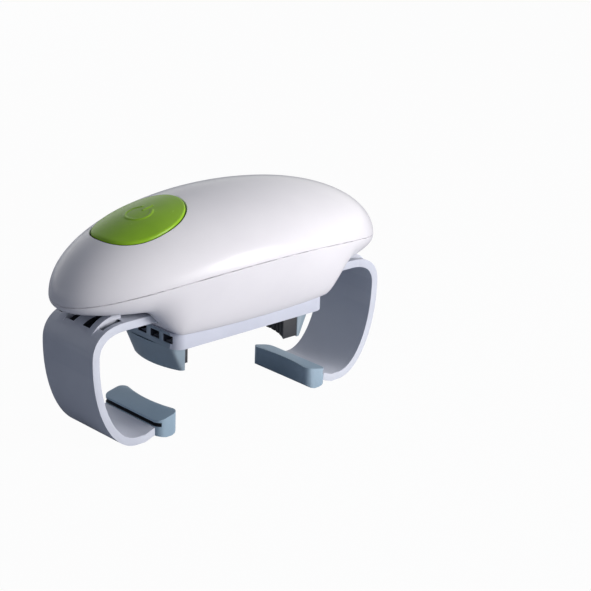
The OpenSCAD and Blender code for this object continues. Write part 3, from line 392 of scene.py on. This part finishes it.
def softened(name, node, body, own):
    # a copy of the CAD solid with its flats joined and its edges rounded
    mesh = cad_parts[node].data.copy()
    shape = bmesh.new()
    shape.from_mesh(mesh)
    bmesh.ops.remove_doubles(shape, verts=shape.verts, dist=rounding["merge"])
    bmesh.ops.dissolve_limit(shape, angle_limit=math.radians(rounding["flat"]), verts=shape.verts,
                             edges=shape.edges)
    shape.to_mesh(mesh)
    shape.free()
    piece = linked(name, mesh)
    bevel = piece.modifiers.new("bevel", "BEVEL")
    bevel.limit_method, bevel.angle_limit = "ANGLE", math.radians(rounding["sharp"])
    bevel.width, bevel.segments, bevel.use_clamp_overlap = own["edge"] * mm, own["steps"], True
    bevel.miter_outer = "MITER_ARC"
    applied(piece)
    finished(piece, body, own["paint"], node, smooth=rounding["sharp"])
    if "paintOf" in own:
        painted(piece, own["paintOf"])


# housing form: the same formulas as the CAD's
case = {"halfL": 98.4, "halfW": 43.4, "topZ": 113.2, "seamZ": 86.2, "seamDrop": 14.1, "seamGap": 0.3,
        "wall": 2.4, "endFloor": 68, "skirt": 53.5, "skirtHalf": 46, "skirtRun": 20,
        "nx": 2.02, "ny": 1.81, "endTuck": 7, "sideTuck": 12.4, "endN": 2, "sideN": 1.3}


def seamZ(x):
    return case["seamZ"] - case["seamDrop"] * (x / case["halfL"]) ** 2


def domeN(t):
    return case["nx"] - (case["nx"] - case["ny"]) * math.sin(t) ** 2


def domePoint(t, height, depth):
    n = domeN(t)
    f = max(0, 1 - height ** n) ** (1 / n)
    x0, y0 = (case["halfL"] - depth) * math.cos(t), (case["halfW"] - depth) * math.sin(t)
    z0 = seamZ(x0)
    return (x0 * f, y0 * f, z0 + (case["topZ"] - depth - z0) * height)


def domeZ(x, y, depth):
    u, v = x / (case["halfL"] - depth), y / (case["halfW"] - depth)
    r, t = math.hypot(u, v), math.atan2(v, u)
    n = domeN(t)
    height = max(0, 1 - r ** n) ** (1 / n)
    z0 = seamZ((case["halfL"] - depth) * math.cos(t))
    return z0 + (case["topZ"] - depth - z0) * height


def smoothStep(u):
    u = min(1, max(0, u))
    return u * u * (3 - 2 * u)


def floorZ(x):
    inward = (case["skirtHalf"] + case["skirtRun"] - abs(x)) / case["skirtRun"]
    return case["endFloor"] - (case["endFloor"] - case["skirt"]) * smoothStep(inward)


def footScale(t):
    ends = case["endTuck"] / case["halfL"] * math.cos(t) ** 2
    return 1 - ends - case["sideTuck"] / case["halfW"] * math.sin(t) ** 2


def wallPoint(t, u, depth, lift=0):
    # u is 0 at the seam and 1 at the foot; only the inner skin's foot stands on the floor's upper side
    n = case["endN"] - (case["endN"] - case["sideN"]) * math.sin(t) ** 2
    s = 1 - (1 - footScale(t)) * (1 - max(0, math.cos(math.pi / 2 * u)) ** (2 / n))
    x0 = (case["halfL"] - depth) * math.cos(t)
    x, y = x0 * s, (case["halfW"] - depth) * math.sin(t) * s
    z0 = seamZ(x0) - case["seamGap"] / 2 - lift
    foot = floorZ(x) + (depth if depth == case["wall"] else 0)
    return (x, y, z0 + (foot - z0) * math.sin(math.pi / 2 * u) ** (2 / n))


def floorPoint(t, s, depth):
    k = footScale(t) * s
    x = (case["halfL"] - depth) * math.cos(t) * k
    return (x, (case["halfW"] - depth) * math.sin(t) * k, floorZ(x) + depth)


def angles(count):
    return [2 * math.pi * j / count for j in range(count)]


def disc(x, y, z, r, count):
    return [(x + r * math.cos(t), y + r * math.sin(t), z) for t in angles(count)]


def oval(centre, a, b, n, t):
    # superellipse of exponent n
    c, s = math.cos(t), math.sin(t)
    return (centre[0] + a * math.copysign(abs(c) ** (2 / n), c),
            centre[1] + b * math.copysign(abs(s) ** (2 / n), s))


def ovalRing(centre, a, b, n, depth, count, lift=0):
    # an oval laid on the dome, or depth inside it
    points = [oval(centre, a, b, n, t) for t in angles(count)]
    return [(x, y, domeZ(x, y, depth) + lift) for x, y in points]


button = {"x": -51.2, "halfL": 23.4, "halfW": 20, "gap": 0.6, "proud": 0.7, "n": 2.2, "flange": 2,
          "flangeT": 1.5, "flangeGap": 0.45, "edge": 0.8, "sideDepth": 0.6, "paintedShadeBelow": 0.5,
          "innerShare": 0.5, "flare": 0.25, "around": 200, "steps": 84, "smooth": 50}
door = {"centre": (8, 27), "halfL": 27, "halfW": 8.8, "gap": 0.35, "n": 6, "edge": 0.3,
        "innerShare": 0.5, "flare": 0.2, "around": 160, "steps": 16, "smooth": 40}
cutter = {"deep": 12, "high": 6, "around": 160}


def cutterOver(name, centre, own):
    # opening in the dome, with a small chamfer round its rim
    flare, count = own["flare"], cutter["around"]
    narrow = (own["halfL"], own["halfW"], own["n"])
    wide = (own["halfL"] + 2 * flare, own["halfW"] + 2 * flare, own["n"])
    rings = [ovalRing(centre, *narrow, 0, count, -cutter["deep"]), ovalRing(centre, *narrow, 0, count, -flare),
             ovalRing(centre, *wide, 0, count, flare), ovalRing(centre, *wide, 0, count, cutter["high"])]
    x, y = centre
    z = domeZ(x, y, 0)
    return ringSkin(name, rings, (x, y, z - cutter["deep"]), (x, y, z + cutter["high"]))


upper = {"around": 288, "outer": 56, "inner": 20, "chamfer": 0.22}


def upperShell():
    turns = angles(upper["around"])
    outer, inner = upper["outer"], upper["inner"]
    lift = case["seamGap"] / 2
    rings = [[domePoint(t, math.sin(math.pi / 2 * k / outer), 0) for t in turns]
             for k in range(outer - 1, 0, -1)]
    for depth, rise in ((0, lift + upper["chamfer"]), (upper["chamfer"], lift), (case["wall"], lift)):
        rings.append([(x, y, z + rise) for x, y, z in (domePoint(t, 0, depth) for t in turns)])
    rings += [[domePoint(t, math.sin(math.pi / 2 * k / inner), case["wall"]) for t in turns]
              for k in range(1, inner)]
    piece = ringSkin("upperShell", rings, (0, 0, case["topZ"]), (0, 0, case["topZ"] - case["wall"]))
    uncut = piece.data.copy()
    cut(piece, cutterOver("cutButton", (button["x"], 0), button), cutterOver("cutDoor", door["centre"], door))
    finished(piece, "housing", "shell", "upper_shell")
    keepCurve(piece, uncut)


upperShell()
print("upper shell made")

lower = {"around": 288, "walls": 30, "inner": 14, "chamfer": 0.22,
         "floorFrom": 0.97, "floorStep": 0.025, "floorRings": 28, "floorLast": 0.2}
slots = {"fromX": 44, "toX": 74, "halfY": 20, "lowZ": 59.3, "highZ": 64.3,
         "notchY": 11.5, "notchHalf": 2.5, "notchZ": 66.9}
holes = {"lowZ": 51, "highZ": 58, "wellX": 40, "wellY": 24.5, "wellR": 2.9, "wellAround": 32,
         "hubR": 12, "hubAround": 72}


def armOpening(side):
    # slot for an arm with two notches over it for the guide ribs, as one prism along X
    s = slots
    notches = [(y + d * s["notchHalf"], z) for y in (s["notchY"], -s["notchY"])
               for d, zs in ((1, (s["highZ"], s["notchZ"])), (-1, (s["notchZ"], s["highZ"]))) for z in zs]
    outline = [(-s["halfY"], s["lowZ"]), (s["halfY"], s["lowZ"]), (s["halfY"], s["highZ"])]
    outline += notches + [(-s["halfY"], s["highZ"])]
    count = len(outline)
    points = [(side * x, y, z) for x in (s["fromX"], s["toX"]) for y, z in outline]
    faces = [tuple(range(count)), tuple(range(count, 2 * count))]
    faces += [(k, (k + 1) % count, (k + 1) % count + count, k + count) for k in range(count)]
    return meshPiece("armOpening", points, faces)


def roundOpening(name, x, y, r, count):
    low, high = holes["lowZ"], holes["highZ"]
    return ringSkin(name, [disc(x, y, low, r, count), disc(x, y, high, r, count)], (x, y, low), (x, y, high))


def lowerShell():
    turns = angles(lower["around"])
    walls, inner = lower["walls"], lower["inner"]
    floors = [lower["floorFrom"] - lower["floorStep"] * k for k in range(lower["floorRings"])]
    floors.append(lower["floorLast"])
    rings = [[floorPoint(t, s, case["wall"]) for t in turns] for s in reversed(floors)]
    rings += [[wallPoint(t, k / inner, case["wall"]) for t in turns] for k in range(inner, -1, -1)]
    rings.append([wallPoint(t, 0, lower["chamfer"]) for t in turns])
    rings.append([wallPoint(t, 0, 0, lower["chamfer"]) for t in turns])
    rings += [[wallPoint(t, k / walls, 0) for t in turns] for k in range(1, walls + 1)]
    rings += [[floorPoint(t, s, 0) for t in turns] for s in floors]
    piece = ringSkin("lowerShell", rings, (0, 0, case["skirt"] + case["wall"]), (0, 0, case["skirt"]))
    uncut = piece.data.copy()
    cutters = [armOpening(side) for side in (-1, 1)]
    cutters += [roundOpening("well", x, y, holes["wellR"], holes["wellAround"])
                for x in (-holes["wellX"], holes["wellX"]) for y in (-holes["wellY"], holes["wellY"])]
    cutters.append(roundOpening("hub", 0, 0, holes["hubR"], holes["hubAround"]))
    cut(piece, *cutters)
    finished(piece, "housing", "shell", "lower_shell")
    keepCurve(piece, uncut)


lowerShell()
print("lower shell made")

symbol = {"ringR": 6.4, "ringHalf": 0.9, "gapAngle": 32, "barHalf": 0.8, "barFrom": 2.2, "barTo": 8.6,
          "steep": 1.6, "height": 0.3}


def symbolRise(x, y):
    # raised ring with a gap, and a short bar in the gap
    r, angle = math.hypot(x, y), math.degrees(math.atan2(y, x))
    arc = max(0, 1 - abs(r - symbol["ringR"]) / symbol["ringHalf"]) if abs(angle) > symbol["gapAngle"] else 0
    bar = max(0, 1 - abs(y) / symbol["barHalf"]) if symbol["barFrom"] < x < symbol["barTo"] else 0
    return symbol["height"] * smoothStep(max(arc, bar) * symbol["steep"])


def buttonCap():
    b = button
    count, n = b["around"], b["n"]
    centre = (b["x"], 0)
    a, w = b["halfL"] - b["gap"], b["halfW"] - b["gap"]
    rings = []
    for k in range(1, b["steps"] + 1):
        u = k / b["steps"]
        inset = (1 - u) * w
        fall = b["edge"] * (1 - math.sqrt(max(0, 1 - max(0, 1 - inset / b["edge"]) ** 2)))
        spots = [oval(centre, a * u, w * u, n, t) for t in angles(count)]
        rings.append([(x, y, domeZ(x, y, 0) + b["proud"] - fall + symbolRise(x - centre[0], y))
                      for x, y in spots])
    under = case["wall"] + b["flangeGap"]
    deep = under + b["flangeT"]
    flangeA, flangeW = a + b["flange"], w + b["flange"]
    innerA, innerW = a * b["innerShare"], w * b["innerShare"]
    rings += [ovalRing(centre, a, w, n, b["sideDepth"], count), ovalRing(centre, a, w, n, under, count),
              ovalRing(centre, flangeA, flangeW, n, under, count),
              ovalRing(centre, flangeA, flangeW, n, deep, count),
              ovalRing(centre, innerA, innerW, n, deep, count)]
    x = b["x"]
    piece = ringSkin("buttonCap", rings, (x, 0, domeZ(x, 0, 0) + b["proud"]), (x, 0, domeZ(x, 0, deep)))
    finished(piece, "button", ["button", "buttonGapShade"], "power_button", smooth=b["smooth"])
    # side faces deeper than the set depth under the dome take the near-black paint: painted shade for the gap
    # round the button
    painted(piece, lambda spot, low, high: int(spot.z < domeZ(spot.x, spot.y, 0) - b["paintedShadeBelow"]))


buttonCap()
print("button made")


def doorPanel():
    d = door
    centre, count, n = d["centre"], d["around"], d["n"]
    a, w, edge = d["halfL"] - d["gap"], d["halfW"] - d["gap"], d["edge"]
    shares = [k / d["steps"] for k in range(1, d["steps"] + 1)]
    rings = [ovalRing(centre, (a - edge) * u, (w - edge) * u, n, 0, count) for u in shares]
    rings += [ovalRing(centre, a, w, n, 0, count, -edge), ovalRing(centre, a, w, n, case["wall"], count),
              ovalRing(centre, a * d["innerShare"], w * d["innerShare"], n, case["wall"], count)]
    x, y = centre
    piece = ringSkin("doorPanel", rings, (x, y, domeZ(x, y, 0)), (x, y, domeZ(x, y, case["wall"])))
    finished(piece, "battery_door", "shell", "battery_door", smooth=d["smooth"])


doorPanel()
print("door made")

# where faces of a rounded copy take its second or third paint
shoulder = {"fromX": 72.9, "run": 20, "midZ": 48, "topZ": 63.8, "n": 2.4, "pocketX": (73.9, 86.6),
            "pocketY": ((3.4, 9.6), (13.4, 16.9)), "pocketZ": (-2.6, -0.3), "over": 0.1}
groove = {"fromX": 53.2, "halfY": 21.9, "lowZ": 6.2, "highZ": 8.5, "tallest": 2}
tray = {"cornerX": 42.5, "cornerY": 20, "cornerR": 5.7, "insideTop": 52.3, "endX": 48.3, "endY": 21}


def inPocket(spot, low, high):
    # open pockets beside the guide ribs, their faces painted near-black as painted shade; level is the
    # shoulder's surface
    s = shoulder
    x, y = abs(spot.x), abs(spot.y)
    if not s["pocketX"][0] < x < s["pocketX"][1] or not any(a < y < b for a, b in s["pocketY"]):
        return 0
    bend = max(0, (x - s["fromX"]) / s["run"]) ** s["n"]
    level = s["midZ"] + (s["topZ"] - s["midZ"]) * (1 - bend) ** (1 / s["n"])
    return int(s["pocketZ"][0] < spot.z - level < s["pocketZ"][1] and high < s["topZ"] + s["over"])


def inGroove(spot, low, high):
    # the groove along the back of a jar pad, painted near-black as painted shade
    g = groove
    within = low > g["lowZ"] and high < g["highZ"] and high - low < g["tallest"]
    return int(within and abs(spot.x) > g["fromX"] and abs(spot.y) < g["halfY"])


def onTray(spot, low, high):
    # painted shade inside; the end walls take the jaws' darker tone, partly as plates of that colour and partly
    # as painted shade; the rest pale
    x, y = abs(spot.x), abs(spot.y)
    corner = math.hypot(max(0, x - tray["cornerX"]), max(0, y - tray["cornerY"]))
    if spot.z < tray["insideTop"] and corner < tray["cornerR"]:
        return 1
    return 2 if x > tray["endX"] and y < tray["endY"] else 0


# rounded copies of CAD solids: edge is the rounding in millimetres, steps its segments
sidePieces = {
    "Arm": {"node": "arm", "body": "arm", "paint": ["arm", "recessShade"], "slot": "arm_grey",
            "edge": 0.8, "steps": 4, "paintOf": inPocket},
    "JarPad": {"node": "pad", "body": "arm", "paint": ["pad", "recessShade"], "slot": "pad_grey",
               "edge": 1.2, "steps": 4, "paintOf": inGroove},
    "Jaw": {"node": "jaw", "body": "jaw", "paint": "jaw", "slot": "jaw_grey", "edge": 0.6, "steps": 3},
    "LidPad": {"node": "jaw_pad", "body": "jaw", "paint": "ribbed", "slot": "pad_black",
               "edge": 0.15, "steps": 2},
}
trayPieces = {
    # the tray's second paint is painted shade inside it; its third, the jaws' tone on the end walls, is partly
    # painted shade
    "turningTray": {"node": "carrier", "paint": ["carrier", "trayInsideShade", "jaw"], "slot": "carrier_blue",
                    "edge": 0.5, "steps": 3, "paintOf": onTray},
    "trayCover": {"node": "carrier_cover", "paint": "carrier", "slot": "carrier_blue", "edge": 0.2, "steps": 2},
}
for side in ("left", "right"):
    for name, own in sidePieces.items():
        softened(side + name, side + "_" + own["node"], side + "_" + own["body"], own)
for name, own in trayPieces.items():
    softened(name, own["node"], "turning_carrier", own)
print("arms, pads, jaws and tray made")

spring = {"keep": 0.42, "smooth": 60}


def buttonSpring():
    # a steel copy of the CAD spring, with a mesh of its own
    piece = linked("buttonSpring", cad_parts["button_spring"].data.copy())
    finished(piece, "housing", "steel", "button_spring", smooth=spring["smooth"])
    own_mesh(piece)


buttonSpring()
print("button spring made")

# CAD solids that stay: a finish for each
finishes = {
    "switch_plunger": "tray", "circuit_board": "board", "switch_body": "blackPart",
    "board_screws": "steel", "battery_tray": "tray", "batteries": "cellWrap", "contact_plates": "nickel",
    "contact_springs": "nickel", "chassis": "chassis", "gear_cover": "chassis", "gear_pins": "steel",
    "cover_screws": "steel", "shell_screws": "steel", "motor": "motorCan", "motor_pinion": "brass",
    "first_gear": "acetal", "second_gear": "acetal", "turn_bush": "acetal", "carrier_screws": "steel",
    "spindle": "steel", "drive_gear": "acetal", "retaining_clip": "steel", "jaw_pin": "steel",
    "jaw_pinion": "acetal", "arm_pinion": "acetal",
}
for node, paint in finishes.items():
    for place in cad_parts[node].material_slots:
        place.material = paints[paint]
print("finishes set on", len(finishes), "CAD solids")

# stage, lamps and world: the floor and the world look white to the camera, and light the object less
stage = {"half": 4000, "drop": 0.0002, "plain": (0.41, 0.44, 0.50, 1), "glow": (1, 1, 1, 1), "glowShare": 0.97}
backdrop = {"light": (0.170, 0.183, 0.213, 1), "seen": (1, 1, 1, 1),
            "rays": ("Is Glossy Ray", "Is Transmission Ray", "Is Camera Ray")}
lampAim = (0, 0, 0.07)
lamps = {
    "key": {"place": (0.63, -1.19, 0.42), "size": 0.7, "power": 13.8, "colour": (1, 0.972, 0.952)},
    "low": {"place": (0.35, -1.17, 0.2), "size": 0.8, "power": 6.8, "colour": (1, 0.975, 0.95)},
    "top": {"place": (0.6, 0.0, 1.2), "size": 0.9, "power": 0.8, "colour": (1, 1, 1)},
    "back": {"place": (0.25, 1.3, 0.06), "size": 0.8, "power": 9, "colour": (1, 0.985, 0.97), "gloss": False},
}


def paleFloor():
    half = stage["half"]
    corners = [(-half, -half, 0), (half, -half, 0), (half, half, 0), (-half, half, 0)]
    floor = meshPiece("floor", corners, [(0, 1, 2, 3)])
    floor.location.z = -stage["drop"]
    paint = Paint("floorPaint", "ShaderNodeMixShader")
    seen = paint.add("ShaderNodeLightPath", out="Is Camera Ray")
    paint.drive(0, seen * stage["glowShare"])
    paint.drive(1, paint.add("ShaderNodeBsdfDiffuse", {}, {"Color": stage["plain"]}))
    paint.drive(2, paint.add("ShaderNodeEmission", {}, {"Color": stage["glow"], "Strength": 1.0}))
    floor.data.materials.append(paint.material)


def lampsAndWorld():
    for name, lamp in lamps.items():
        data = bpy.data.lights.new(name, "AREA")
        data.shape, data.size, data.energy, data.color = "DISK", lamp["size"], lamp["power"], lamp["colour"]
        thing = linked(name, data)
        thing.location = lamp["place"]
        thing.visible_glossy = lamp.get("gloss", True)
        thing.rotation_euler = (Vector(lampAim) - thing.location).to_track_quat("-Z", "Y").to_euler()
    sky = Sky("world")
    colour = backdrop["light"]
    for ray in backdrop["rays"]:
        colour = sky.mix(sky.add("ShaderNodeLightPath", out=ray), colour, backdrop["seen"])
    sky.drive("Color", colour)
    bpy.context.scene.view_settings.view_transform = "Standard"


paleFloor()
lampsAndWorld()
print("stage and lamps set")
